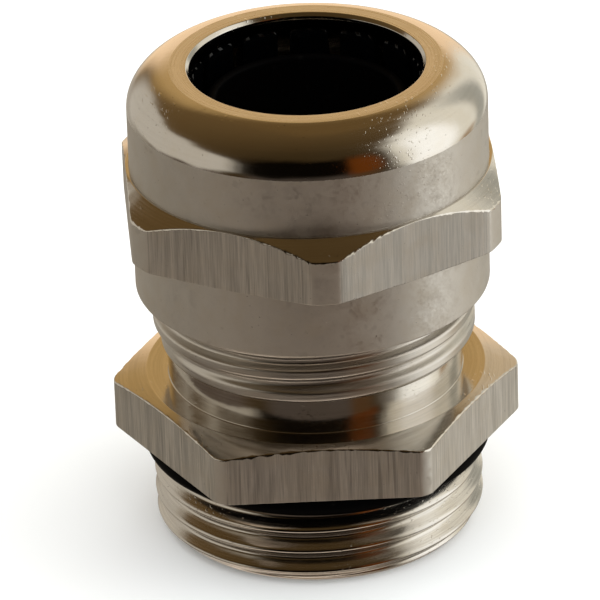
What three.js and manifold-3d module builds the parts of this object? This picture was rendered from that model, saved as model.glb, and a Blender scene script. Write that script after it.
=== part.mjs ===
// Cable gland in nickel-plated brass, with a plastic clamping cage and rubber seals.
// Millimetres, +Z up along the gland's axis, with the origin at the middle of the bottom end face.
import * as THREE from "three";
import { mergeVertices } from "three/addons/utils/BufferGeometryUtils.js";
import Module from "manifold-3d";

const wasm = await Module();
wasm.setup();

// Facets in one full turn of every turned surface and thread.
const FACETS = 40;
const FULL_TURN = 2 * Math.PI;
// How far a thread ridge, or a turned step inside a hexagon, is sunk into the piece that it joins.
const RIDGE_BURIAL = 0.1;
const STEP_BURIAL = 1;
// How far the envelope that trims a thread stands off its crest, and reaches in below its root.
const ENVELOPE_MARGIN = 0.1;
const ENVELOPE_DEPTH = 0.5;
// A thread's run-out: the facets over which its ridge fades, and the share of its height left at the end.
const FADE_FACETS = FACETS / 5;
const FADE_LEAST = 0.05;
// The front of the gland, where a flat of the body's hexagon faces.
const FRONT = -Math.PI / 2;

// Connection thread at the bottom: 20.4 mm by 18 threads per inch with 80 degree flanks.
const MOUNT_RADIUS = 10.2;
const MOUNT_PITCH = 1.411;
const MOUNT_DEPTH = 0.64;
const MOUNT_CREST = 0.17;
const MOUNT_FLANK = THREE.MathUtils.degToRad(40);
const MOUNT_CREST_HEIGHT = 3.84;
const MOUNT_TOP = 4.9;
const MOUNT_LAST_CREST = 4.35;
const MOUNT_CHAMFER = 0.85;
const MOUNT_ROOT_CHAMFER = 0.2;

// Wrench hexagons: width across flats, and the turned radius that trims their corners.
const BODY_ACROSS_FLATS = 22;
const BODY_CORNER_RADIUS = 12.5;
const NUT_ACROSS_FLATS = 22.35;
const NUT_CORNER_RADIUS = 12.45;

// Gland body, from the bottom up.
const BORE_RADIUS = 6.8;
const BORE_CHAMFER = 0.5;
const RELIEF_RADIUS = 9.2;
const HEX_BOTTOM = 6.4;
const HEX_TOP = 10.08;
const HEX_TOP_RADIUS = 10.45;
const HEX_CHAMFER = 0.2;
const HEX_TOP_SLOPE = 0.28;
const RECESS_RADIUS = 10.85;
const RECESS_DEPTH = 0.1;
const NECK_RADIUS = 9.1;
const NECK_TOP = 12.4;
const SEAT_HEIGHT = 17.7;
const MOUTH_RADIUS = 8.7;
const BODY_TOP = 22.2;
const MOUTH_CHAMFER = 0.2;

// Clamping thread between body and nut: 19.8 mm by 1.5 mm with 60 degree flanks.
const CLAMP_RADIUS = 9.9;
const CLAMP_PITCH = 1.5;
const CLAMP_DEPTH = 0.45;
const CLAMP_CREST = 0.6;
const CLAMP_FLANK = Math.PI / 6;
const CLAMP_CREST_HEIGHT = 12.95;
const CLAMP_LOWEST_CREST = 12.65;
const CLAMP_RADIAL_GAP = 0.17;
const CLAMP_AXIAL_GAP = 0.13;

// Dome nut, at the height where it stands when it is loose.
const NUT_BOTTOM = 16.19;
const NUT_COUNTERBORE_TOP = 17.2;
const NUT_THREAD_TOP = 23.6;
const NUT_THREAD_MARGIN = 0.4;
const NUT_CAVITY_RADIUS = 10.1;
const NUT_CAVITY_TOP = 25.6;
const NUT_HEX_BOTTOM = 20.4;
const NUT_HEX_TOP = 24.28;
const NUT_HEX_SLOPE = 0.75;
const NUT_HEX_UNDERCUT = 0.1;
const NUT_TURN = THREE.MathUtils.degToRad(2.3);
const SKIRT_RADIUS = 10.87;
const DOME_RADIUS = 10.94;
const DOME_START = 28;
const DOME_STEPS = 6;
const NUT_TOP = 30.54;
const FACE_RADIUS = 8.27;
const OPENING_RADIUS = 7.06;
const OPENING_CHAMFER = 0.2;
const CONE_TOP = 30.15;
const CONE_BOTTOM = 26.1;
const CONE_BOTTOM_RADIUS = 9.6;

// Clamping insert: a plastic ring with a crown of fingers, and the rubber seal inside it.
const FINGER_COUNT = 14;
const FIRST_FINGER_ANGLE = THREE.MathUtils.degToRad(112.5);
const FINGER_LEAN = THREE.MathUtils.degToRad(5);
const FINGER_BOTTOM = 23.2;
const FINGER_KNEE = 27.8;
const FINGER_TOP = 29.6;
const FINGER_KNEE_RADIUS = 8.2;
const FINGER_TIP_RADIUS = 7.15;
const FINGER_ROOT_WIDTH = 3;
const FINGER_TIP_WIDTH = 2.25;
const CAGE_OUTER_RADIUS = 8.3;
const CAGE_INNER_RADIUS = 7.35;
const CAGE_LIP_RADIUS = 6.7;
const CAGE_BOTTOM = 21.6;
const CAGE_LIP_TOP = 22;
const CAGE_TOP = 23;
const SEAL_BOTTOM = 22.15;
const SEAL_SHOULDER = 23.6;
const SEAL_TOP = 28.4;
const SEAL_OUTER_RADIUS = 7.05;
const SEAL_TOP_RADIUS = 6.05;
const SEAL_BORE_RADIUS = 5.45;
const SEAL_LIP = 0.2;

// O-ring in the recess under the body's hexagon.
const O_RING_SECTION_RADIUS = 0.75;
const O_RING_GAP = 0.05;
const O_RING_RADIUS = RELIEF_RADIUS + O_RING_GAP + O_RING_SECTION_RADIUS;
const O_RING_SIDES = 10;

const NICKEL = new THREE.MeshStandardMaterial({ color: 0xb3a894, roughness: 0.3, metalness: 1 });
const CAGE_PLASTIC = new THREE.MeshStandardMaterial({ color: 0x141516, roughness: 0.45, metalness: 0 });
const RUBBER = new THREE.MeshStandardMaterial({ color: 0x0c0c0d, roughness: 0.7, metalness: 0 });

function toSolid(geometry) {
  const bare = geometry.clone();
  bare.deleteAttribute("normal");
  bare.deleteAttribute("uv");
  const merged = mergeVertices(bare, 1e-5);
  const mesh = new wasm.Mesh({
    numProp: 3,
    vertProperties: new Float32Array(merged.attributes.position.array),
    triVerts: new Uint32Array(merged.index.array),
  });
  return new wasm.Manifold(mesh);
}

function toGeometry(solid) {
  const mesh = solid.getMesh();
  const geometry = new THREE.BufferGeometry();
  geometry.setAttribute("position", new THREE.BufferAttribute(mesh.vertProperties, 3));
  geometry.setIndex(new THREE.BufferAttribute(mesh.triVerts, 1));
  geometry.computeVertexNormals();
  return geometry;
}

// Turns a closed outline of [radius, height] points, listed anticlockwise, about the Z axis.
function turned(outline) {
  const points = [...outline, outline[0]].map(([radius, height]) => new THREE.Vector2(radius, height));
  return new THREE.LatheGeometry(points, FACETS).rotateX(Math.PI / 2);
}

// Points of a quarter round from one [radius, height] corner to another, bulging outwards.
function quarterRound(startRadius, startHeight, endRadius, endHeight, steps) {
  return Array.from({ length: steps + 1 }, (_, i) => {
    const angle = (i / steps) * (Math.PI / 2);
    return [
      endRadius + (startRadius - endRadius) * Math.cos(angle),
      startHeight + (endHeight - startHeight) * Math.sin(angle),
    ];
  });
}

// A hexagonal bar between two heights, with one flat facing the front before it is turned.
function hexBar(acrossFlats, bottom, top, turn) {
  const reach = acrossFlats / 2 / Math.cos(Math.PI / 6);
  const corners = Array.from({ length: 6 }, (_, i) => {
    const angle = FRONT + turn + ((i + 0.5) * Math.PI) / 3;
    return new THREE.Vector2(reach * Math.cos(angle), reach * Math.sin(angle));
  });
  const settings = { depth: top - bottom, bevelEnabled: false };
  const bar = new THREE.ExtrudeGeometry(new THREE.Shape(corners), settings);
  return toSolid(bar.translate(0, 0, bottom));
}

// One helical ridge of a right-hand thread. Its section runs from a buried radius to its crest radius, and
// its middle passes the front at crestHeight. It starts near height from and ends near height to, in whole
// facets that fall between those of the core, and it fades into the buried radius at each end that has a
// run-out.
function threadRidge({ buried, crest, crestWidth, flank, pitch, crestHeight, from, to, fadeFrom, fadeTo }) {
  const buriedWidth = crestWidth + 2 * Math.abs(crest - buried) * Math.tan(flank);
  const outline = [
    new THREE.Vector2(-buriedWidth / 2, 0),
    new THREE.Vector2(buriedWidth / 2, 0),
    new THREE.Vector2(crestWidth / 2, 1),
    new THREE.Vector2(-crestWidth / 2, 1),
  ];
  const firstFacet = Math.round(((from - crestHeight) / pitch) * FACETS);
  const steps = Math.round(((to - from) / pitch) * FACETS);
  const ridge = new THREE.ExtrudeGeometry(new THREE.Shape(outline), { depth: 1, steps, bevelEnabled: false });
  // A ridge that points inwards is mirrored along the axis, which keeps its faces pointing out.
  const side = Math.sign(crest - buried);
  const position = ridge.attributes.position;
  for (let i = 0; i < position.count; i += 1) {
    const step = Math.round(position.getZ(i) * steps);
    const fadeIn = fadeFrom ? step / FADE_FACETS : 1;
    const fadeOut = fadeTo ? (steps - step) / FADE_FACETS : 1;
    const rise = THREE.MathUtils.clamp(Math.min(fadeIn, fadeOut), FADE_LEAST, 1);
    const turns = (firstFacet + step + 0.5) / FACETS;
    const angle = FRONT + turns * FULL_TURN;
    const radius = buried + (crest - buried) * position.getY(i) * rise;
    const height = crestHeight + turns * pitch + side * position.getX(i);
    position.setXYZ(i, radius * Math.cos(angle), radius * Math.sin(angle), height);
  }
  return toSolid(ridge);
}

function glandBody() {
  const mountRoot = MOUNT_RADIUS - MOUNT_DEPTH;
  const clampRoot = CLAMP_RADIUS - CLAMP_DEPTH;
  const core = toSolid(
    turned([
      [BORE_RADIUS + BORE_CHAMFER, 0],
      [mountRoot - MOUNT_ROOT_CHAMFER, 0],
      [mountRoot, MOUNT_ROOT_CHAMFER],
      [mountRoot, MOUNT_TOP],
      [RELIEF_RADIUS, MOUNT_TOP + mountRoot - RELIEF_RADIUS],
      [RELIEF_RADIUS, HEX_BOTTOM + STEP_BURIAL],
      [NECK_RADIUS, HEX_BOTTOM + STEP_BURIAL],
      [NECK_RADIUS, NECK_TOP],
      [clampRoot, NECK_TOP],
      [clampRoot, BODY_TOP],
      [MOUTH_RADIUS + MOUTH_CHAMFER, BODY_TOP],
      [MOUTH_RADIUS, BODY_TOP - MOUTH_CHAMFER],
      [MOUTH_RADIUS, SEAT_HEIGHT],
      [BORE_RADIUS, SEAT_HEIGHT],
      [BORE_RADIUS, BORE_CHAMFER],
    ]),
  );
  const hexInside = NECK_RADIUS - STEP_BURIAL;
  const hexOverhang = BODY_CORNER_RADIUS - HEX_TOP_RADIUS;
  const hexBlank = toSolid(
    turned([
      [hexInside, HEX_BOTTOM + RECESS_DEPTH],
      [RECESS_RADIUS, HEX_BOTTOM + RECESS_DEPTH],
      [RECESS_RADIUS, HEX_BOTTOM],
      [BODY_CORNER_RADIUS - HEX_CHAMFER, HEX_BOTTOM],
      [BODY_CORNER_RADIUS, HEX_BOTTOM + HEX_CHAMFER],
      [BODY_CORNER_RADIUS, HEX_TOP - hexOverhang * HEX_TOP_SLOPE],
      [HEX_TOP_RADIUS, HEX_TOP],
      [hexInside, HEX_TOP],
    ]),
  );
  const mountEnvelope = toSolid(
    turned([
      [mountRoot - ENVELOPE_DEPTH, 0],
      [MOUNT_RADIUS - MOUNT_CHAMFER, 0],
      [MOUNT_RADIUS + ENVELOPE_MARGIN, MOUNT_CHAMFER + ENVELOPE_MARGIN],
      [MOUNT_RADIUS + ENVELOPE_MARGIN, HEX_BOTTOM - STEP_BURIAL],
      [mountRoot - ENVELOPE_DEPTH, HEX_BOTTOM - STEP_BURIAL],
    ]),
  );
  const mountThread = threadRidge({
    buried: mountRoot - RIDGE_BURIAL,
    crest: MOUNT_RADIUS,
    crestWidth: MOUNT_CREST,
    flank: MOUNT_FLANK,
    pitch: MOUNT_PITCH,
    crestHeight: MOUNT_CREST_HEIGHT,
    from: -MOUNT_PITCH,
    to: MOUNT_LAST_CREST,
    fadeFrom: false,
    fadeTo: true,
  });
  const clampEnvelope = toSolid(
    turned([
      [clampRoot - ENVELOPE_DEPTH, NECK_TOP],
      [CLAMP_RADIUS + ENVELOPE_MARGIN, NECK_TOP],
      [CLAMP_RADIUS + ENVELOPE_MARGIN, BODY_TOP - CLAMP_DEPTH - ENVELOPE_MARGIN],
      [clampRoot, BODY_TOP],
      [clampRoot - ENVELOPE_DEPTH, BODY_TOP],
    ]),
  );
  const clampThread = threadRidge({
    buried: clampRoot - RIDGE_BURIAL,
    crest: CLAMP_RADIUS,
    crestWidth: CLAMP_CREST,
    flank: CLAMP_FLANK,
    pitch: CLAMP_PITCH,
    crestHeight: CLAMP_CREST_HEIGHT,
    from: CLAMP_LOWEST_CREST,
    to: BODY_TOP + CLAMP_PITCH,
    fadeFrom: true,
    fadeTo: false,
  });
  return core
    .add(hexBar(BODY_ACROSS_FLATS, HEX_BOTTOM, HEX_TOP, 0).intersect(hexBlank))
    .add(mountThread.intersect(mountEnvelope))
    .add(clampThread.intersect(clampEnvelope));
}

function domeNut() {
  const shell = toSolid(
    turned([
      [NUT_CAVITY_RADIUS, NUT_BOTTOM],
      [SKIRT_RADIUS, NUT_BOTTOM],
      [SKIRT_RADIUS, NUT_HEX_BOTTOM + STEP_BURIAL],
      [DOME_RADIUS, NUT_HEX_BOTTOM + STEP_BURIAL],
      ...quarterRound(DOME_RADIUS, DOME_START, FACE_RADIUS, NUT_TOP, DOME_STEPS),
      [OPENING_RADIUS + OPENING_CHAMFER, NUT_TOP],
      [OPENING_RADIUS, NUT_TOP - OPENING_CHAMFER],
      [OPENING_RADIUS, CONE_TOP],
      [CONE_BOTTOM_RADIUS, CONE_BOTTOM],
      [NUT_CAVITY_RADIUS, NUT_CAVITY_TOP],
    ]),
  );
  const flatRadius = NUT_ACROSS_FLATS / 2;
  const overhang = NUT_CORNER_RADIUS - flatRadius;
  const hexBlank = toSolid(
    turned([
      [NUT_CAVITY_RADIUS + 2 * RIDGE_BURIAL, NUT_HEX_BOTTOM],
      [flatRadius, NUT_HEX_BOTTOM],
      [NUT_CORNER_RADIUS, NUT_HEX_BOTTOM + NUT_HEX_UNDERCUT],
      [NUT_CORNER_RADIUS, NUT_HEX_TOP - overhang * NUT_HEX_SLOPE],
      [flatRadius, NUT_HEX_TOP],
      [NUT_CAVITY_RADIUS + 2 * RIDGE_BURIAL, NUT_HEX_TOP],
    ]),
  );
  const hexTurn = NUT_TURN + Math.PI / 6;
  const crest = CLAMP_RADIUS - CLAMP_DEPTH + CLAMP_RADIAL_GAP;
  const grooveWidth = CLAMP_PITCH - CLAMP_CREST - 2 * (CLAMP_RADIUS - crest) * Math.tan(CLAMP_FLANK);
  const thread = threadRidge({
    buried: NUT_CAVITY_RADIUS + RIDGE_BURIAL,
    crest,
    crestWidth: grooveWidth - 2 * CLAMP_AXIAL_GAP,
    flank: CLAMP_FLANK,
    pitch: CLAMP_PITCH,
    crestHeight: CLAMP_CREST_HEIGHT + CLAMP_PITCH / 2,
    from: NUT_COUNTERBORE_TOP + NUT_THREAD_MARGIN,
    to: NUT_THREAD_TOP - NUT_THREAD_MARGIN,
    fadeFrom: true,
    fadeTo: true,
  });
  const hexagon = hexBar(NUT_ACROSS_FLATS, NUT_HEX_BOTTOM, NUT_HEX_TOP, hexTurn).intersect(hexBlank);
  return shell.add(hexagon).add(thread);
}

function oRing() {
  const height = HEX_BOTTOM + RECESS_DEPTH - O_RING_GAP - O_RING_SECTION_RADIUS;
  const outline = Array.from({ length: O_RING_SIDES }, (_, i) => {
    const angle = (i / O_RING_SIDES) * FULL_TURN;
    return [
      O_RING_RADIUS + O_RING_SECTION_RADIUS * Math.cos(angle),
      height + O_RING_SECTION_RADIUS * Math.sin(angle),
    ];
  });
  return toSolid(turned(outline));
}

function cageRing() {
  return toSolid(
    turned([
      [CAGE_LIP_RADIUS, CAGE_BOTTOM],
      [CAGE_OUTER_RADIUS, CAGE_BOTTOM],
      [CAGE_OUTER_RADIUS, CAGE_TOP],
      [CAGE_INNER_RADIUS, CAGE_TOP],
      [CAGE_INNER_RADIUS, CAGE_LIP_TOP],
      [CAGE_LIP_RADIUS, CAGE_LIP_TOP],
    ]),
  );
}

function seal() {
  return toSolid(
    turned([
      [SEAL_BORE_RADIUS, SEAL_BOTTOM],
      [SEAL_OUTER_RADIUS, SEAL_BOTTOM],
      [SEAL_OUTER_RADIUS, SEAL_SHOULDER],
      [SEAL_TOP_RADIUS, SEAL_TOP - SEAL_LIP],
      [SEAL_TOP_RADIUS - SEAL_LIP, SEAL_TOP],
      [SEAL_BORE_RADIUS + SEAL_LIP, SEAL_TOP],
      [SEAL_BORE_RADIUS, SEAL_TOP - SEAL_LIP],
    ]),
  );
}

// One finger of the cage, standing at an angle round the axis. It is made one unit wide, and then given its
// width at the root and at the tip.
function finger(angle) {
  const innerTip = CAGE_INNER_RADIUS - (FINGER_TOP - FINGER_BOTTOM) * Math.tan(FINGER_LEAN);
  const outline = new THREE.Shape([
    new THREE.Vector2(CAGE_INNER_RADIUS, FINGER_BOTTOM),
    new THREE.Vector2(CAGE_OUTER_RADIUS, FINGER_BOTTOM),
    new THREE.Vector2(FINGER_KNEE_RADIUS, FINGER_KNEE),
    new THREE.Vector2(FINGER_TIP_RADIUS, FINGER_TOP),
    new THREE.Vector2(innerTip, FINGER_TOP),
  ]);
  const blade = new THREE.ExtrudeGeometry(outline, { depth: 1, bevelEnabled: false });
  blade.translate(0, 0, -0.5);
  const position = blade.attributes.position;
  for (let i = 0; i < position.count; i += 1) {
    const share = (position.getY(i) - FINGER_BOTTOM) / (FINGER_TOP - FINGER_BOTTOM);
    position.setZ(i, position.getZ(i) * THREE.MathUtils.lerp(FINGER_ROOT_WIDTH, FINGER_TIP_WIDTH, share));
  }
  return toSolid(blade.rotateX(Math.PI / 2).rotateZ(angle));
}

function named(name, solid, material) {
  const mesh = new THREE.Mesh(toGeometry(solid), material);
  mesh.name = name;
  return mesh;
}

const gland = new THREE.Group();
gland.add(named("gland_body", glandBody(), NICKEL));
gland.add(named("dome_nut", domeNut(), NICKEL));
gland.add(named("o_ring", oRing(), RUBBER));
gland.add(named("seal", seal(), RUBBER));
gland.add(named("cage_ring", cageRing(), CAGE_PLASTIC));
for (let i = 0; i < FINGER_COUNT; i += 1) {
  const name = `cage_finger_${String(i + 1).padStart(2, "0")}`;
  gland.add(named(name, finger(FIRST_FINGER_ANGLE + (i / FINGER_COUNT) * FULL_TURN), CAGE_PLASTIC));
}

export default gland;
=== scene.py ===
import math

import bpy
import numpy as np
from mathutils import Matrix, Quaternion, Vector


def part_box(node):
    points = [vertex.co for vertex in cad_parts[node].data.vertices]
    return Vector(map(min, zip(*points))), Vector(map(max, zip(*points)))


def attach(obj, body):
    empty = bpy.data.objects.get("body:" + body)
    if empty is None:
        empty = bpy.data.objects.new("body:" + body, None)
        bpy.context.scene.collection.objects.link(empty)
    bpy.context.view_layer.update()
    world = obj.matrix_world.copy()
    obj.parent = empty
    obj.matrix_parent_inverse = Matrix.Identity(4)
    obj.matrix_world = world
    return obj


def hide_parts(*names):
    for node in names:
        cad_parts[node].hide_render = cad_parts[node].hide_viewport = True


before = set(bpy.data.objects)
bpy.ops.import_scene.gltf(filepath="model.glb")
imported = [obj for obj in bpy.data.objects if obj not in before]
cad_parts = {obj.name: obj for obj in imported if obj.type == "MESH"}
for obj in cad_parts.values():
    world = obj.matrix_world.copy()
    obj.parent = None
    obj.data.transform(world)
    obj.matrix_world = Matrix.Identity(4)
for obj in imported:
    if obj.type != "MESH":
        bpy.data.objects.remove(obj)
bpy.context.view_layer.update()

MM = 0.001
FULL_TURN = 2 * math.pi

# Camera: a long lens that looks down on the gland from the front, rolled a little.
LENS = 360
CAMERA_DISTANCE = 0.3687
CAMERA_AZIMUTH = math.radians(-1.09)
CAMERA_ELEVATION = math.radians(27.53)
CAMERA_ROLL = math.radians(-1.95)
CAMERA_SIDESTEP = -0.83 * MM
AIM_HEIGHT = 14.45 * MM

PALE = (0.9, 0.9, 0.895)
BACKDROP = (0.97, 0.97, 0.97)

# From here to the outlines' end every length is in millimetres and every angle in radians. Azimuths start at
# the front, -Y, and run anticlockwise seen from above.
SEGMENTS = 320
NUT_SEGMENTS = 530
FILLET_STEPS = 4
FILLET_SHARE = 0.45
THREAD_ROW = 0.07
THREAD_ROUNDING = 0.08
THREAD_SAMPLES = 9

# Wrench hexagons. A turned corner radius trims the corners of each one.
BODY_ACROSS_FLATS = 22
BODY_CORNER_RADIUS = 12.5
NUT_ACROSS_FLATS = 22.35
NUT_CORNER_RADIUS = 12.45
NUT_TURN = math.radians(2.3)
CORNER_SOFTNESS = 0.05
CORNER_COLUMNS = np.radians([-1.8, -1.2, -0.7, -0.3, 0, 0.3, 0.7, 1.2, 1.8])
COLUMN_GAP = math.radians(0.25)

# Fillets, from a crisp crease to a rounded edge, and the chips in the wrench edges. The chips' widths are in
# degrees.
CREASE = 0.03
BROKEN_EDGE = 0.05
EDGE = 0.07
ROUNDED_EDGE = 0.1
EDGE_UNEVENNESS = 0.6
CHIPS = 320
CHIP_WIDTHS = (0.2, 0.6)
CHIP_LEAST_DEPTH = 0.05
CHIP_ADDED_DEPTH = 0.16

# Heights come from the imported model's boxes.
BODY_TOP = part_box("gland_body")[1].z / MM
NUT_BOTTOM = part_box("dome_nut")[0].z / MM
NUT_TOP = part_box("dome_nut")[1].z / MM
O_RING_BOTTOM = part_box("o_ring")[0].z / MM
O_RING_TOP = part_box("o_ring")[1].z / MM
CAGE_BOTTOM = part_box("cage_ring")[0].z / MM
CAGE_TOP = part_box("cage_ring")[1].z / MM
SEAL_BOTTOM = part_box("seal")[0].z / MM
SEAL_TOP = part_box("seal")[1].z / MM
FINGER_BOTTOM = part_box("cage_finger_01")[0].z / MM
FINGER_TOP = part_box("cage_finger_01")[1].z / MM

# Connection thread and the relief above it. A thread's front is the height where a crest passes the front,
# and its land is the width of the flat crest.
MOUNT = {
    "crest": 10.2,
    "depth": 0.64,
    "land": 0.17,
    "flank": math.radians(40),
    "pitch": 1.411,
    "front": 3.84,
}
MOUNT_LAST_CREST = 4.35
MOUNT_END_RADIUS = 9.35
MOUNT_TOP = 4.9
RELIEF_START = MOUNT_TOP + 0.5
RELIEF_RADIUS = 9.2
HEX_BOTTOM = 6.4
HEX_TOP = 10.08
HEX_TOP_RADIUS = 10.45
HEX_TOP_SLOPE = 0.28
RECESS_RADIUS = 10.85
RECESS_DEPTH = 0.1

# Neck and clamping thread, then the mouth, seat and bore inside. The thread's rows are further apart above
# CLAMP_SEEN_TOP, where the nut covers them.
NECK_RADIUS = 9.1
NECK_TOP = 12.4
NECK_FILLET = 0.06
CLAMP = {
    "crest": 9.9,
    "depth": 0.45,
    "land": 0.6,
    "flank": math.radians(30),
    "pitch": 1.5,
    "front": 12.95,
}
CLAMP_LOWEST_CREST = 12.65
CLAMP_SEEN_TOP = 17
CLAMP_HIDDEN_ROW = 2 * THREAD_ROW
MOUTH_RADIUS = 8.7
MOUTH_FILLET = 0.15
SEAT_HEIGHT = 17.7
BORE_RADIUS = 6.8
BORE_CHAMFER = 0.5

# Dome nut.
NUT_CAVITY_RADIUS = 10.1
NUT_CAVITY_TOP = 25.6
NUT_THREAD_BOTTOM = 17.2
NUT_THREAD_TOP = 23.6
NUT_THREAD_LAND = 0.3
NUT_THREAD_ROW = 1.5 * THREAD_ROW
NUT_HEX_BOTTOM = 20.4
NUT_HEX_TOP = 24.28
NUT_HEX_SLOPE = 0.75
NUT_HEX_UNDERCUT = 0.08
SKIRT_RADIUS = 10.87
SKIRT_FILLET = 0.12
DOME_RADIUS = 10.94
DOME_START = 28
DOME_STEPS = 28
DOME_END = math.radians(78)
FACE_RADIUS = 8.27
OPENING_RADIUS = 7.06
OPENING_CHAMFER = 0.2
OPENING_FILLET = 0.04
CONE_TOP = 30.15
CONE_BOTTOM = 26.1
CONE_BOTTOM_RADIUS = 9.6

# Cage, seal and O-ring.
FINGER_COUNT = 14
FIRST_FINGER = math.radians(202.5)
FINGER_SUNK_END = FINGER_BOTTOM - 0.1
FINGER_ROWS_BELOW_KNEE = (24.5, 26, 27.2)
FINGER_KNEE = 27.8
FINGER_ROWS_ABOVE_KNEE = (28.4, 29, 29.4)
FINGER_KNEE_RADIUS = 8.2
FINGER_TIP_RADIUS = 7.15
FINGER_LEAN = math.radians(5)
FINGER_ROOT_WIDTH = 3
FINGER_TIP_WIDTH = 2.25
FINGER_ROUNDING = 0.14
FINGER_END_ROUNDING = 0.12
FINGER_CORNER_STEPS = 8
FINGER_SIDE_STEPS = 5
CAGE_OUTER_RADIUS = 8.3
CAGE_INNER_RADIUS = 7.35
CAGE_LIP_RADIUS = 6.7
CAGE_LIP_TOP = 22
CAGE_FILLET = 0.08
CAGE_FOOT_FILLET = 0.15
SEAL_OUTER_RADIUS = 7.05
SEAL_SHOULDER = 23.6
SEAL_TOP_RADIUS = 6.05
SEAL_BORE_RADIUS = 5.45
SEAL_FOOT_FILLET = 0.15
SEAL_SHOULDER_FILLET = 0.4
SEAL_LIP_FILLET = 0.28
O_RING_SIDES = 32
RUBBER_SEGMENTS = 144


def azimuths(corners=(), half_corner=0.0, segments=SEGMENTS):
    """Azimuths of the segments round a piece, closer together at the two edges of each hexagon corner."""
    even = np.arange(segments) * FULL_TURN / segments
    if not len(corners):
        return even
    edges = [corner + side * half_corner for corner in corners for side in (-1, 1)]
    close = np.mod(np.concatenate([edge + CORNER_COLUMNS for edge in edges]), FULL_TURN)
    gap = np.abs(np.angle(np.exp(1j * (even[:, None] - close[None, :])))).min(axis=1)
    return np.sort(np.concatenate([even[gap > COLUMN_GAP], close]))


def worn_edge(azimuth, seed):
    """Fillet of a worn wrench edge at every azimuth: small, with chips knocked into it here and there."""
    random = np.random.default_rng(seed)
    fillet = EDGE * (1 + EDGE_UNEVENNESS * random.uniform(-1, 1, azimuth.size))
    for _ in range(CHIPS):
        middle = random.uniform(0, FULL_TURN)
        width = math.radians(random.uniform(*CHIP_WIDTHS))
        depth = CHIP_LEAST_DEPTH + CHIP_ADDED_DEPTH * random.uniform(0, 1) ** 2
        apart = np.abs(np.angle(np.exp(1j * (azimuth - middle))))
        fillet = np.maximum(fillet, depth * np.exp(-((apart / width) ** 2)))
    return fillet


def hexagon(azimuth, turn, across_flats, corner_radius):
    """Radius of a hexagon with turned corners, and where it is flat. At no turn, a flat faces the front."""
    across = (azimuth - turn + math.pi / 6) % (math.pi / 3) - math.pi / 6
    flat = across_flats / 2 / np.cos(across)
    least = np.minimum(flat, corner_radius)
    softened = np.exp((least - flat) / CORNER_SOFTNESS) + np.exp((least - corner_radius) / CORNER_SOFTNESS)
    return least - CORNER_SOFTNESS * np.log(softened), flat < corner_radius


def thread_radius(azimuth, height, form, first=-math.inf, last=math.inf):
    """Radius of a right-hand thread, with softened edges.

    Its ridge fades in after height first and out before height last, over a fifth of the pitch.
    """
    fade_height = form["pitch"] / 5
    root = form["crest"] - form["depth"]
    total = 0
    for shift in np.linspace(-THREAD_ROUNDING, THREAD_ROUNDING, THREAD_SAMPLES):
        turns = (height + shift - form["front"]) / form["pitch"] - azimuth / FULL_TURN
        offset = (turns - np.round(turns)) * form["pitch"]
        middle = height + shift - offset
        drop = np.clip((np.abs(offset) - form["land"] / 2) / math.tan(form["flank"]), 0, form["depth"])
        fade = np.clip(np.minimum(middle - first, last - middle) / fade_height, 0, 1)
        total = total + root + (form["depth"] - drop) * fade
    return total / THREAD_SAMPLES


class Outline:
    """The closed outline of a turned piece, anticlockwise, as rows of radius and height at every azimuth."""

    def __init__(self, azimuth):
        self.azimuth = azimuth
        self.points = []

    def to(self, radius, height, finish, fillet=0.0):
        """Adds a point. Its finish, a material index, covers the strip that leads on from it."""
        ones = np.ones_like(self.azimuth)
        point = np.stack([radius * ones, height * ones])
        self.points.append((point, finish * ones.astype(int), fillet))

    def along(self, heights, radius_at, finish):
        """Adds a row at each height, with a radius that depends on azimuth and height."""
        for height in heights:
            self.to(radius_at(self.azimuth, height), height, finish)

    def rows(self):
        """The rows of the outline, with each filleted point made into a short curve.

        A fillet takes up at most FILLET_SHARE of the shorter side beside it.
        """
        rows = []
        finishes = []
        for i, (point, finish, fillet) in enumerate(self.points):
            if not np.any(fillet):
                rows.append(point)
                finishes.append(finish)
                continue
            back = self.points[i - 1][0] - point
            on = self.points[(i + 1) % len(self.points)][0] - point
            back_length = np.linalg.norm(back, axis=0)
            on_length = np.linalg.norm(on, axis=0)
            reach = np.minimum(fillet, FILLET_SHARE * np.minimum(back_length, on_length))
            start = point + back / back_length * reach
            end = point + on / on_length * reach
            for t in np.linspace(0, 1, FILLET_STEPS + 1):
                rows.append((1 - t) ** 2 * start + 2 * t * (1 - t) * point + t**2 * end)
                finishes.append(finish)
        return np.array(rows), np.array(finishes)

    def mesh(self, name, materials):
        """Makes the piece: a closed grid of quads with one column for each azimuth."""
        rows, finishes = self.rows()
        radius, height = rows[:, 0] * MM, rows[:, 1] * MM
        x = radius * np.sin(self.azimuth)
        y = -radius * np.cos(self.azimuth)
        vertices = np.stack([x, y, height], axis=-1).reshape(-1, 3)
        row_count, column_count = radius.shape
        row, column = np.meshgrid(np.arange(row_count), np.arange(column_count), indexing="ij")
        next_row = (row + 1) % row_count
        next_column = (column + 1) % column_count
        corners = [(row, column), (row, next_column), (next_row, next_column), (next_row, column)]
        faces = np.stack([r * column_count + c for r, c in corners], axis=-1).reshape(-1, 4)
        return piece_from(name, vertices, faces, materials, finishes.ravel())


def linked(name, data):
    """Adds an object to the scene."""
    thing = bpy.data.objects.new(name, data)
    bpy.context.scene.collection.objects.link(thing)
    return thing


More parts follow.
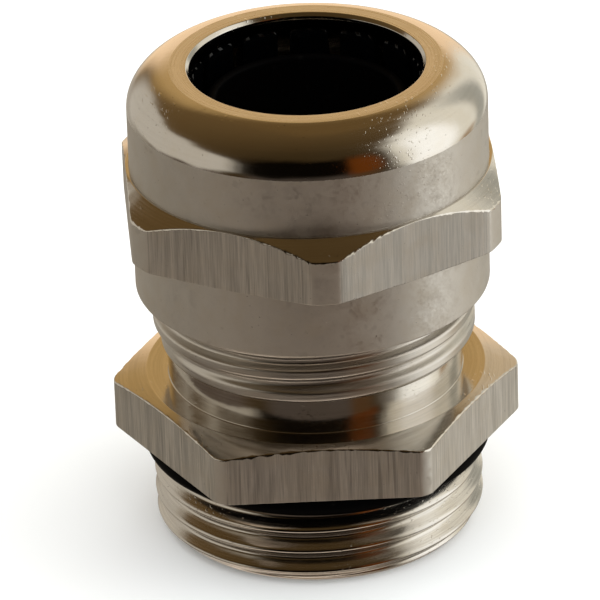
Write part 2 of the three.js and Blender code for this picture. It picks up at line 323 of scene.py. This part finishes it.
def piece_from(name, vertices, faces, materials, finishes):
    """Makes a smooth-shaded object of quads whose vertex normals are weighted by the areas of the faces."""
    mesh = bpy.data.meshes.new(name)
    mesh.from_pydata(vertices.tolist(), [], faces.tolist())
    for material in materials:
        mesh.materials.append(material)
    mesh.polygons.foreach_set("material_index", finishes.astype(np.int32))
    mesh.polygons.foreach_set("use_smooth", np.ones(len(faces), bool))
    normals = np.zeros((len(faces), 3), np.float32)
    areas = np.zeros(len(faces), np.float32)
    mesh.polygons.foreach_get("normal", normals.ravel())
    mesh.polygons.foreach_get("area", areas)
    weighted = np.zeros((len(vertices), 3))
    for corner in faces.T:
        np.add.at(weighted, corner, normals * areas[:, None])
    least_length = 1e-30
    weighted /= np.maximum(np.linalg.norm(weighted, axis=1, keepdims=True), least_length)
    mesh.normals_split_custom_set_from_vertices(weighted.tolist())
    return linked(name, mesh)


def place(piece, node, body):
    """Puts a piece in a CAD node's place, on that node's body, and hides the node."""
    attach(piece, body)
    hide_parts(node)


# Materials. Patterns are in each piece's own coordinates: a scale is a number of features for each metre,
# and a height is in metres.
CLOUD_SCALE = 600
STAIN_TINT = (0.92, 0.84, 0.7)
STAIN_STRENGTH = 0.25
CLOUD_ROUGHENING = 0.15
PIT_SCALE = 5200
PIT_STRENGTH = 0.75
GRIME = (0.05, 0.04, 0.03)
RIPPLE_SCALE = 700
RIPPLE_HEIGHT = 8e-6
SCRATCHED_PATCH_SCALE = 180
SCRATCH_SCALE = 5500
SCRATCH_STRETCH = (1, 0.35, 1.6)
SCRATCH_HEIGHT = 9e-6
DRAWN_STRETCH = (1, 1, 0.03)
TURNED_DRIFT = 0.02
DUST_SCALE = 2400
DUST_STRENGTH = 0.015
DUST = (0.16, 0.14, 0.12)


def add(tree, kind, inputs=(), **settings):
    """Adds a shader node. An input is either a value or the socket that feeds it."""
    node = tree.nodes.new(kind)
    for name, value in settings.items():
        setattr(node, name, value)
    for name, value in dict(inputs).items():
        if isinstance(value, bpy.types.NodeSocket):
            tree.links.new(value, node.inputs[name])
        else:
            node.inputs[name].default_value = value
    return node


def noise(tree, vector, scale, detail=2.0, roughness=0.5):
    """Noise from 0 to 1 with a number of features for each metre of the vector."""
    inputs = {"Vector": vector, "Scale": scale, "Detail": detail, "Roughness": roughness}
    return add(tree, "ShaderNodeTexNoise", inputs).outputs[0]


def remap(tree, value, low, high, to_low=0.0, to_high=1.0):
    """Maps a value from one range to another, and clamps it there."""
    inputs = {"Value": value, "From Min": low, "From Max": high, "To Min": to_low, "To Max": to_high}
    return add(tree, "ShaderNodeMapRange", inputs).outputs[0]


def mix_color(tree, factor, first, second):
    """Mixes two colours, each a triple or a socket."""
    node = add(tree, "ShaderNodeMix", {"Factor": factor}, data_type="RGBA")
    for socket, value in ((node.inputs[6], first), (node.inputs[7], second)):
        if isinstance(value, bpy.types.NodeSocket):
            tree.links.new(value, socket)
        else:
            socket.default_value = (*value, 1)
    return node.outputs[2]


def scaled(tree, vector, scale):
    """A vector with each of its parts scaled."""
    return add(tree, "ShaderNodeMapping", {"Vector": vector, "Scale": scale}).outputs[0]


def math_node(tree, operation, first, second=0.0):
    """One arithmetic operation on two values."""
    node = add(tree, "ShaderNodeMath", operation=operation)
    for socket, value in zip(node.inputs, (first, second)):
        if isinstance(value, bpy.types.NodeSocket):
            tree.links.new(value, socket)
        else:
            socket.default_value = value
    return node.outputs[0]


def bumped(tree, height, distance, below=None):
    """The normal of a bump up to a distance high, on top of another bump's normal if there is one."""
    inputs = {"Height": height, "Distance": distance, "Strength": 1.0}
    if below is not None:
        inputs["Normal"] = below
    return add(tree, "ShaderNodeBump", inputs).outputs[0]


def turned_coordinates(tree, here):
    """Radius and height, so that noise makes rings round the axis, with a slow drift along each ring."""
    x, y, z = add(tree, "ShaderNodeSeparateXYZ", {"Vector": here}).outputs
    squares = math_node(tree, "ADD", math_node(tree, "MULTIPLY", x, x), math_node(tree, "MULTIPLY", y, y))
    radius = math_node(tree, "SQRT", squares)
    across = math_node(tree, "ADD", radius, math_node(tree, "MULTIPLY", x, TURNED_DRIFT))
    up = math_node(tree, "ADD", z, math_node(tree, "MULTIPLY", y, TURNED_DRIFT))
    return add(tree, "ShaderNodeCombineXYZ", {"X": across, "Y": up, "Z": 0.0}).outputs[0]


def nickel(name, color, roughness, line_kind, line_scale, line_height, line_contrast):
    """Nickel plate over brass with fine lines, drawn along the axis or turned round it, or an even grain."""
    material = bpy.data.materials.new(name)
    material.use_nodes = True
    tree = material.node_tree
    surface = tree.nodes["Principled BSDF"]
    here = add(tree, "ShaderNodeTexCoord").outputs["Object"]
    if line_kind == "drawn":
        along = scaled(tree, here, DRAWN_STRETCH)
    elif line_kind == "turned":
        along = turned_coordinates(tree, here)
    else:
        along = here
    fine = noise(tree, along, line_scale, 3, 0.6)
    coarse = noise(tree, along, line_scale / 5, 2, 0.5)
    cloud = noise(tree, here, CLOUD_SCALE, 4, 0.6)
    pits = noise(tree, here, PIT_SCALE, 2, 0.5)
    fine_part = math_node(tree, "MULTIPLY", fine, 0.6)
    coarse_part = math_node(tree, "MULTIPLY", coarse, 0.4)
    lines = math_node(tree, "ADD", fine_part, coarse_part)
    dark = tuple(part * (1 - line_contrast) for part in color)
    light = tuple(min(1, part * (1 + 0.3 * line_contrast)) for part in color)
    lined = mix_color(tree, remap(tree, lines, 0.38, 0.62), dark, light)
    warm = tuple(part * tint for part, tint in zip(color, STAIN_TINT))
    stained = mix_color(tree, remap(tree, cloud, 0.45, 0.75, 0, STAIN_STRENGTH), lined, warm)
    scored = mix_color(tree, remap(tree, coarse, 0.66, 0.71, 0, line_contrast), stained, GRIME)
    pitted = mix_color(tree, remap(tree, pits, 0.2, 0.27, PIT_STRENGTH, 0), scored, GRIME)
    rough = remap(tree, lines, 0.35, 0.65, roughness * 0.75, roughness * 1.3)
    cloudy = remap(tree, cloud, 0.4, 0.8, 0, CLOUD_ROUGHENING * roughness)
    ripple = noise(tree, here, RIPPLE_SCALE, 2, 0.5)
    patches = remap(tree, noise(tree, here, SCRATCHED_PATCH_SCALE, 2, 0.5), 0.48, 0.62)
    stretched = scaled(tree, here, SCRATCH_STRETCH)
    scratch = remap(tree, noise(tree, stretched, SCRATCH_SCALE, 1, 0.4), 0.66, 0.74)
    lined_normal = bumped(tree, lines, line_height)
    rippled_normal = bumped(tree, ripple, RIPPLE_HEIGHT, lined_normal)
    scratches = math_node(tree, "MULTIPLY", scratch, patches)
    normal = bumped(tree, scratches, SCRATCH_HEIGHT, rippled_normal)
    tree.links.new(pitted, surface.inputs["Base Color"])
    tree.links.new(math_node(tree, "ADD", rough, cloudy), surface.inputs["Roughness"])
    tree.links.new(normal, surface.inputs["Normal"])
    surface.inputs["Metallic"].default_value = 1
    return material


def black(name, color, roughness, grain, grain_height, specular):
    """Black plastic or rubber with a fine moulded grain and a little dust."""
    material = bpy.data.materials.new(name)
    material.use_nodes = True
    tree = material.node_tree
    surface = tree.nodes["Principled BSDF"]
    here = add(tree, "ShaderNodeTexCoord").outputs["Object"]
    fine = noise(tree, here, grain, 3, 0.6)
    dust = noise(tree, here, DUST_SCALE, 3, 0.6)
    dusty = mix_color(tree, remap(tree, dust, 0.62, 0.8, 0, DUST_STRENGTH), color, DUST)
    rough = remap(tree, fine, 0.3, 0.7, roughness - 0.08, roughness + 0.1)
    tree.links.new(dusty, surface.inputs["Base Color"])
    tree.links.new(rough, surface.inputs["Roughness"])
    tree.links.new(bumped(tree, fine, grain_height), surface.inputs["Normal"])
    surface.inputs["Specular IOR Level"].default_value = specular
    return material


NICKEL_COLOR = (0.62, 0.59, 0.54)
# The top face's nickel: the same colour made lighter, a painted highlight.
FACE_HIGHLIGHT_COLOR = (0.7, 0.665, 0.6)
CAGE_COLOR = (0.0004, 0.0005, 0.0006)
RUBBER_COLOR = (0.0006, 0.0005, 0.0005)

# The finishes, as indices in NICKEL, which gives each one's name, colour and roughness, then the kind,
# scale, height and contrast of its lines. The top face's lighter colour is a painted highlight, not a
# finish.
TURNED, DRAWN, POLISHED, CUT, SATIN, FACE_WITH_HIGHLIGHT, WORN = range(7)
NICKEL = [
    nickel("nickel_turned", NICKEL_COLOR, 0.13, "turned", 7000, 0.4e-6, 0.1),
    nickel("nickel_drawn", NICKEL_COLOR, 0.52, "drawn", 11000, 2e-6, 0.36),
    nickel("nickel_polished", NICKEL_COLOR, 0.13, "turned", 6000, 0.2e-6, 0.03),
    nickel("nickel_cut", NICKEL_COLOR, 0.17, "turned", 9000, 1e-6, 0.2),
    nickel("nickel_satin", NICKEL_COLOR, 0.52, "even", 5000, 0.6e-6, 0.1),
    # The top face: a rougher turned finish, and a lighter colour that is a painted highlight.
    nickel("nickel_face_painted_highlight", FACE_HIGHLIGHT_COLOR, 0.26, "turned", 8000, 0.15e-6, 0.2),
    nickel("nickel_worn", NICKEL_COLOR, 0.33, "turned", 9000, 1e-6, 0.2),
]

# Name, colour and roughness, then the scale and height of the grain, and how much it mirrors.
CAGE_PLASTIC = black("black_polyamide", CAGE_COLOR, 0.17, 9000, 0.6e-6, 0.24)
RUBBER = black("black_rubber", RUBBER_COLOR, 0.5, 12000, 2e-6, 0.02)


def gland_body():
    """The body: connection thread, relief, hexagon, neck and clamping thread, with the bore and seat."""
    half_corner = math.pi / 6 - math.acos(BODY_ACROSS_FLATS / 2 / BODY_CORNER_RADIUS)
    corners = (np.arange(6) + 0.5) * FULL_TURN / 6
    azimuth = azimuths(corners, half_corner)
    side, flat = hexagon(azimuth, 0, BODY_ACROSS_FLATS, BODY_CORNER_RADIUS)
    side_finish = np.where(flat, DRAWN, SATIN)
    mount_root = MOUNT["crest"] - MOUNT["depth"]
    clamp_root = CLAMP["crest"] - CLAMP["depth"]

    def mount_radius(azimuth, height):
        ridge = thread_radius(azimuth, height, MOUNT, last=MOUNT_LAST_CREST)
        relief = max(RELIEF_RADIUS, mount_root - max(0, height - MOUNT_TOP))
        limit = MOUNT["crest"] if height < MOUNT_TOP else relief
        return np.minimum(ridge, min(limit, MOUNT_END_RADIUS + height))

    def clamp_radius(azimuth, height):
        ridge = thread_radius(azimuth, height, CLAMP, first=CLAMP_LOWEST_CREST)
        return np.minimum(ridge, clamp_root + BODY_TOP - height)

    outline = Outline(azimuth)
    outline.to(BORE_RADIUS + BORE_CHAMFER, 0, TURNED, BROKEN_EDGE)
    outline.to(MOUNT_END_RADIUS, 0, CUT)
    mount_rows = round(RELIEF_START / THREAD_ROW)
    outline.along(np.linspace(0, RELIEF_START, mount_rows)[1:], mount_radius, CUT)
    outline.to(RELIEF_RADIUS, HEX_BOTTOM + RECESS_DEPTH, TURNED, ROUNDED_EDGE)
    outline.to(RECESS_RADIUS, HEX_BOTTOM + RECESS_DEPTH, TURNED)
    outline.to(RECESS_RADIUS, HEX_BOTTOM, TURNED)
    outline.to(side, HEX_BOTTOM, side_finish, EDGE)
    edge = worn_edge(azimuth, seed=3)
    outline.to(side, HEX_TOP - (side - HEX_TOP_RADIUS) * HEX_TOP_SLOPE, TURNED, edge)
    outline.to(HEX_TOP_RADIUS, HEX_TOP, TURNED, CREASE)
    outline.to(NECK_RADIUS, HEX_TOP, TURNED, NECK_FILLET)
    outline.to(NECK_RADIUS, NECK_TOP, WORN, NECK_FILLET)
    outline.to(clamp_root, NECK_TOP, WORN, NECK_FILLET)
    # The neck's last fillet takes the place of the thread's first two rows.
    seen_rows = round((CLAMP_SEEN_TOP - NECK_TOP) / THREAD_ROW)
    outline.along(np.linspace(NECK_TOP, CLAMP_SEEN_TOP, seen_rows)[2:], clamp_radius, WORN)
    hidden_rows = round((BODY_TOP - CLAMP_SEEN_TOP) / CLAMP_HIDDEN_ROW)
    outline.along(np.linspace(CLAMP_SEEN_TOP, BODY_TOP, hidden_rows)[1:], clamp_radius, WORN)
    outline.to(MOUTH_RADIUS, BODY_TOP, TURNED, MOUTH_FILLET)
    outline.to(MOUTH_RADIUS, SEAT_HEIGHT, TURNED, ROUNDED_EDGE)
    outline.to(BORE_RADIUS, SEAT_HEIGHT, TURNED, ROUNDED_EDGE)
    outline.to(BORE_RADIUS, BORE_CHAMFER, TURNED, BROKEN_EDGE)
    place(outline.mesh("body_metal", NICKEL), "gland_body", "gland_body")


def dome_nut():
    """The nut: skirt, hexagon and dome outside, opening, cone and thread inside."""
    flat_radius = NUT_ACROSS_FLATS / 2
    half_corner = math.pi / 6 - math.acos(flat_radius / NUT_CORNER_RADIUS)
    corners = NUT_TURN + np.arange(6) * FULL_TURN / 6
    azimuth = azimuths(corners, half_corner, NUT_SEGMENTS)
    side, flat = hexagon(azimuth, NUT_TURN + math.pi / 6, NUT_ACROSS_FLATS, NUT_CORNER_RADIUS)
    side_finish = np.where(flat, DRAWN, SATIN)
    overhang = side - flat_radius

    def inner_radius(azimuth, height):
        form = dict(CLAMP, front=CLAMP["front"] + CLAMP["pitch"] / 2, land=NUT_THREAD_LAND)
        ridge = thread_radius(azimuth, height, form, first=NUT_THREAD_BOTTOM, last=NUT_THREAD_TOP)
        return NUT_CAVITY_RADIUS - (ridge - (CLAMP["crest"] - CLAMP["depth"]))

    outline = Outline(azimuth)
    outline.to(NUT_CAVITY_RADIUS, NUT_BOTTOM, TURNED, ROUNDED_EDGE)
    outline.to(SKIRT_RADIUS, NUT_BOTTOM, SATIN, SKIRT_FILLET)
    outline.to(SKIRT_RADIUS, NUT_HEX_BOTTOM, TURNED, BROKEN_EDGE)
    outline.to(flat_radius - EDGE, NUT_HEX_BOTTOM, TURNED, CREASE)
    outline.to(side, NUT_HEX_BOTTOM + overhang * NUT_HEX_UNDERCUT, side_finish, EDGE)
    outline.to(side, NUT_HEX_TOP - overhang * NUT_HEX_SLOPE, TURNED, worn_edge(azimuth, seed=8))
    outline.to(flat_radius - EDGE, NUT_HEX_TOP, TURNED, CREASE)
    outline.to(DOME_RADIUS, NUT_HEX_TOP, SATIN, CREASE)
    outline.to(DOME_RADIUS, DOME_START - CREASE, SATIN)
    last_cosine, last_sine = math.cos(DOME_END), math.sin(DOME_END)
    for angle in np.linspace(0, DOME_END, DOME_STEPS + 1)[:-1]:
        share = (math.cos(angle) - last_cosine) / (1 - last_cosine)
        height = DOME_START + (NUT_TOP - DOME_START) * math.sin(angle) / last_sine
        outline.to(FACE_RADIUS + (DOME_RADIUS - FACE_RADIUS) * share, height, POLISHED)
    # The nut's top face takes the nickel with the painted highlight.
    outline.to(FACE_RADIUS, NUT_TOP, FACE_WITH_HIGHLIGHT, CREASE)
    outline.to(OPENING_RADIUS + OPENING_CHAMFER, NUT_TOP, TURNED, OPENING_FILLET)
    outline.to(OPENING_RADIUS, NUT_TOP - OPENING_CHAMFER, TURNED, OPENING_FILLET)
    outline.to(OPENING_RADIUS, CONE_TOP, TURNED, BROKEN_EDGE)
    outline.to(CONE_BOTTOM_RADIUS, CONE_BOTTOM, TURNED, ROUNDED_EDGE)
    outline.to(NUT_CAVITY_RADIUS, NUT_CAVITY_TOP, TURNED)
    highest = NUT_THREAD_TOP + CLAMP["depth"]
    lowest = NUT_THREAD_BOTTOM - CLAMP["depth"]
    thread_rows = round((highest - lowest) / NUT_THREAD_ROW)
    outline.along(np.linspace(highest, lowest, thread_rows), inner_radius, CUT)
    place(outline.mesh("nut_metal", NICKEL), "dome_nut", "dome_nut")


def o_ring():
    """The O-ring, round in section."""
    outline = Outline(azimuths(segments=RUBBER_SEGMENTS))
    section = (O_RING_TOP - O_RING_BOTTOM) / 2
    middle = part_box("o_ring")[1].x / MM - section
    for side in range(O_RING_SIDES):
        angle = side * FULL_TURN / O_RING_SIDES
        outline.to(middle + section * math.cos(angle), O_RING_BOTTOM + section * (1 + math.sin(angle)), 0)
    place(outline.mesh("o_ring_rubber", [RUBBER]), "o_ring", "gland_body")


def cage_ring():
    """The ring that the cage's fingers grow from, with a lip under the seal."""
    outline = Outline(azimuths(segments=RUBBER_SEGMENTS))
    outline.to(CAGE_LIP_RADIUS, CAGE_BOTTOM, 0, CAGE_FILLET)
    outline.to(CAGE_OUTER_RADIUS, CAGE_BOTTOM, 0, CAGE_FOOT_FILLET)
    outline.to(CAGE_OUTER_RADIUS, CAGE_TOP, 0, CAGE_FILLET)
    outline.to(CAGE_INNER_RADIUS, CAGE_TOP, 0, CAGE_FILLET)
    outline.to(CAGE_INNER_RADIUS, CAGE_LIP_TOP, 0, BROKEN_EDGE)
    outline.to(CAGE_LIP_RADIUS, CAGE_LIP_TOP, 0, CAGE_FILLET)
    place(outline.mesh("cage_base", [CAGE_PLASTIC]), "cage_ring", "clamping_insert")


def seal():
    """The seal: a sleeve that narrows to a rounded lip."""
    outline = Outline(azimuths(segments=RUBBER_SEGMENTS))
    outline.to(SEAL_BORE_RADIUS, SEAL_BOTTOM, 0, SEAL_FOOT_FILLET)
    outline.to(SEAL_OUTER_RADIUS, SEAL_BOTTOM, 0, SEAL_FOOT_FILLET)
    outline.to(SEAL_OUTER_RADIUS, SEAL_SHOULDER, 0, SEAL_SHOULDER_FILLET)
    outline.to(SEAL_TOP_RADIUS, SEAL_TOP, 0, SEAL_LIP_FILLET)
    outline.to(SEAL_BORE_RADIUS, SEAL_TOP, 0, SEAL_LIP_FILLET)
    place(outline.mesh("seal_sleeve", [RUBBER]), "seal", "clamping_insert")


def finger_section(outer, inner, straight):
    """A finger's section as steps sideways and radii, with rounded corners and long sides that curve."""
    section = []
    for corner, (across, out) in enumerate([(1, 1), (-1, 1), (-1, -1), (1, -1)]):
        middle = outer - FINGER_ROUNDING if out > 0 else inner + FINGER_ROUNDING
        for turn in (corner + np.linspace(0, 1, FINGER_CORNER_STEPS)) * math.pi / 2:
            sideways = across * straight + FINGER_ROUNDING * math.cos(turn)
            section.append((sideways, middle + FINGER_ROUNDING * math.sin(turn)))
        if across == out:
            side_steps = across * straight * np.linspace(1, -1, FINGER_SIDE_STEPS + 2)[1:-1]
            section += [(sideways, middle + out * FINGER_ROUNDING) for sideways in side_steps]
    return section


def finger(name, azimuth):
    """One finger of the cage: a curved blade that narrows to its tip, rounded all round its edge."""
    levels = [FINGER_SUNK_END, FINGER_BOTTOM, *FINGER_ROWS_BELOW_KNEE]
    levels += [FINGER_KNEE, *FINGER_ROWS_ABOVE_KNEE, FINGER_TOP]
    vertices = []
    for level, height in enumerate(levels):
        share = (height - FINGER_BOTTOM) / (FINGER_TOP - FINGER_BOTTOM)
        if height < FINGER_KNEE:
            outer = np.interp(height, [FINGER_BOTTOM, FINGER_KNEE], [CAGE_OUTER_RADIUS, FINGER_KNEE_RADIUS])
        else:
            outer = np.interp(height, [FINGER_KNEE, FINGER_TOP], [FINGER_KNEE_RADIUS, FINGER_TIP_RADIUS])
        inner = CAGE_INNER_RADIUS - (height - FINGER_BOTTOM) * math.tan(FINGER_LEAN)
        width = FINGER_ROOT_WIDTH + (FINGER_TIP_WIDTH - FINGER_ROOT_WIDTH) * share
        shrink = FINGER_END_ROUNDING if level in (0, len(levels) - 1) else 0.0
        section = finger_section(outer - shrink, inner + shrink, width / 2 - shrink - FINGER_ROUNDING)
        for sideways, radius in section:
            bearing = azimuth + math.asin(sideways / radius)
            vertices.append((radius * math.sin(bearing), -radius * math.cos(bearing), height))
    ring = len(section)
    faces = []
    for level in range(len(levels) - 1):
        for side in range(ring):
            along = (side + 1) % ring
            low, high = level * ring, (level + 1) * ring
            faces.append((low + side, low + along, high + along, high + side))
    vertices.append(tuple(np.mean(vertices[:ring], axis=0)))
    vertices.append(tuple(np.mean(vertices[-ring - 1:-1], axis=0)))
    bottom, top = len(vertices) - 2, len(vertices) - 1
    last = (len(levels) - 1) * ring
    for side in range(ring):
        along = (side + 1) % ring
        faces.append((along, side, bottom))
        faces.append((last + side, last + along, top))
    mesh = bpy.data.meshes.new(name)
    mesh.from_pydata([tuple(MM * part for part in vertex) for vertex in vertices], [], faces)
    mesh.materials.append(CAGE_PLASTIC)
    mesh.shade_smooth()
    return linked(name, mesh)


gland_body()
dome_nut()
o_ring()
cage_ring()
seal()
for number in range(1, FINGER_COUNT + 1):
    node = f"cage_finger_{number:02d}"
    blade = finger(f"finger_blade_{number:02d}", FIRST_FINGER + (number - 1) * FULL_TURN / FINGER_COUNT)
    place(blade, node, node)


def camera():
    """The camera, rolled so that the gland leans a little to the left."""
    data = bpy.data.cameras.new("camera")
    data.lens = LENS
    away = Vector((
        math.sin(CAMERA_AZIMUTH) * math.cos(CAMERA_ELEVATION),
        -math.cos(CAMERA_AZIMUTH) * math.cos(CAMERA_ELEVATION),
        math.sin(CAMERA_ELEVATION),
    ))
    right = Vector((0, 0, 1)).cross(away).normalized()
    viewer = linked("camera", data)
    viewer.location = Vector((0, 0, AIM_HEIGHT)) + right * CAMERA_SIDESTEP + away * CAMERA_DISTANCE
    viewer.rotation_mode = "QUATERNION"
    viewer.rotation_quaternion = (-away).to_track_quat("-Z", "Y") @ Quaternion((0, 0, 1), CAMERA_ROLL)
    bpy.context.scene.camera = viewer


def floor():
    """A plain pale floor. The metal doesn't mirror it, so it shows the studio's soft surround instead."""
    half = 2
    gap = 0.02 * MM
    mesh = bpy.data.meshes.new("floor")
    corners = [(-half, -half, -gap), (half, -half, -gap), (half, half, -gap), (-half, half, -gap)]
    mesh.from_pydata(corners, [], [(0, 1, 2, 3)])
    material = bpy.data.materials.new("pale_floor")
    material.use_nodes = True
    surface = material.node_tree.nodes["Principled BSDF"]
    surface.inputs["Base Color"].default_value = (*PALE, 1)
    surface.inputs["Roughness"].default_value = 0.9
    surface.inputs["Specular IOR Level"].default_value = 0.1
    mesh.materials.append(material)
    ground = linked("floor", mesh)
    ground.visible_glossy = False


def overhead_light():
    """A wide soft light from above, which the metal doesn't mirror."""
    data = bpy.data.lights.new("overhead", "SUN")
    data.energy = 4.15
    data.color = (0.92, 0.97, 1)
    data.angle = math.radians(150)
    light = linked("overhead", data)
    light.rotation_euler = (math.radians(15), math.radians(12), 0)
    light.visible_glossy = False


# The soft surround: panels of light and shade, by azimuth from the front, elevation, half width and half
# height in degrees, then softness and colour. Each is painted over those before it.
PANELS = (
    (0, -75, 181, 36, 0.2, (1.25, 1.07, 0.91)),
    (-115, -60, 35, 22, 0.3, (0.36, 0.31, 0.26)),
    (110, -62, 60, 22, 0.3, (0.16, 0.145, 0.125)),
    (0, -90, 181, 26, 0.2, (0.12, 0.09, 0.065)),
    (-92, -30, 34, 14, 0.3, (0.11, 0.082, 0.062)),
    (-145, -28, 25, 16, 0.3, (0.38, 0.34, 0.28)),
    (180, -25, 30, 20, 0.4, (0.5, 0.45, 0.38)),
    (-100, 4, 55, 25, 0.13, (0.66, 0.61, 0.53)),
    (-2, -22, 38, 22, 0.25, (0.09, 0.07, 0.056)),
    (-8, 10, 38, 29, 0.3, (0.003, 0.002, 0.001)),
    (34, 8, 10, 25, 0.35, (0.16, 0.042, 0.005)),
    (34, -27, 8, 13, 0.5, (0.1, 0.05, 0.02)),
    (108, -28, 52, 16, 0.3, (0.36, 0.335, 0.3)),
    (98, -25, 30, 12, 0.4, (1.2, 1.17, 1.04)),
    (110, 14, 57, 40, 0.12, (1.08, 1.03, 0.9)),
    (84, 6, 18, 38, 0.4, (1.55, 1.55, 1.52)),
    (136, 0, 9, 34, 0.5, (0.5, 0.49, 0.43)),
    (118, -28, 7, 12, 0.5, (0.5, 0.36, 0.23)),
    (170, 56, 26, 20, 0.4, (0.17, 0.1, 0.035)),
    (180, 6, 17, 19, 0.3, (1.25, 0.9, 0.57)),
    (180, 31, 24, 11, 0.5, (0.62, 0.4, 0.16)),
)
CEILING_FRONT = (0.055, 0.034, 0.013)
CEILING_BACK = (0.2, 0.12, 0.045)

# The panels' edges wander up and down by a few degrees.
WANDER = 5
WANDER_SCALE = 2.5


def painted_panel(tree, azimuth, elevation, panel, color):
    """Paints one soft panel, a rounded rectangle, over a colour."""
    panel_azimuth, panel_elevation, half_width, half_height, softness, panel_color = panel
    aside = add(tree, "ShaderNodeMath", operation="WRAP")
    tree.links.new(math_node(tree, "SUBTRACT", azimuth, panel_azimuth), aside.inputs[0])
    aside.inputs[1].default_value = -180
    aside.inputs[2].default_value = 180
    across = math_node(tree, "DIVIDE", aside.outputs[0], half_width)
    above = math_node(tree, "DIVIDE", math_node(tree, "SUBTRACT", elevation, panel_elevation), half_height)
    sizes = [math_node(tree, "ABSOLUTE", part) for part in (across, above)]
    fourth_powers = [math_node(tree, "POWER", size, 4) for size in sizes]
    distance = math_node(tree, "POWER", math_node(tree, "ADD", *fourth_powers), 0.25)
    inputs = {"Value": distance, "From Min": 1 + softness, "From Max": 1 - softness}
    mask = add(tree, "ShaderNodeMapRange", inputs, interpolation_type="SMOOTHSTEP").outputs[0]
    return mix_color(tree, mask, color, panel_color)


def studio():
    """The surround that the metal mirrors. The camera itself sees plain pale beyond the floor."""
    world = bpy.data.worlds.new("studio")
    world.use_nodes = True
    tree = world.node_tree
    direction = add(tree, "ShaderNodeTexCoord").outputs["Generated"]
    x, y, z = add(tree, "ShaderNodeSeparateXYZ", {"Vector": direction}).outputs
    degrees = 180 / math.pi
    forwards = math_node(tree, "MULTIPLY", y, -1)
    azimuth = math_node(tree, "MULTIPLY", math_node(tree, "ARCTAN2", x, forwards), degrees)
    level = math_node(tree, "MULTIPLY", math_node(tree, "ARCSINE", z), degrees)
    wander = remap(tree, noise(tree, direction, WANDER_SCALE, 4, 0.55), 0.3, 0.7, -WANDER, WANDER)
    elevation = math_node(tree, "ADD", level, wander)
    color = mix_color(tree, remap(tree, y, -0.6, 1), CEILING_FRONT, CEILING_BACK)
    for panel in PANELS:
        color = painted_panel(tree, azimuth, elevation, panel, color)
    seen_by_camera = add(tree, "ShaderNodeLightPath").outputs["Is Camera Ray"]
    surround = tree.nodes["Background"]
    tree.links.new(mix_color(tree, seen_by_camera, color, BACKDROP), surround.inputs["Color"])
    bpy.context.scene.world = world


camera()
floor()
overhead_light()
studio()
bpy.context.scene.view_settings.view_transform = "Standard"
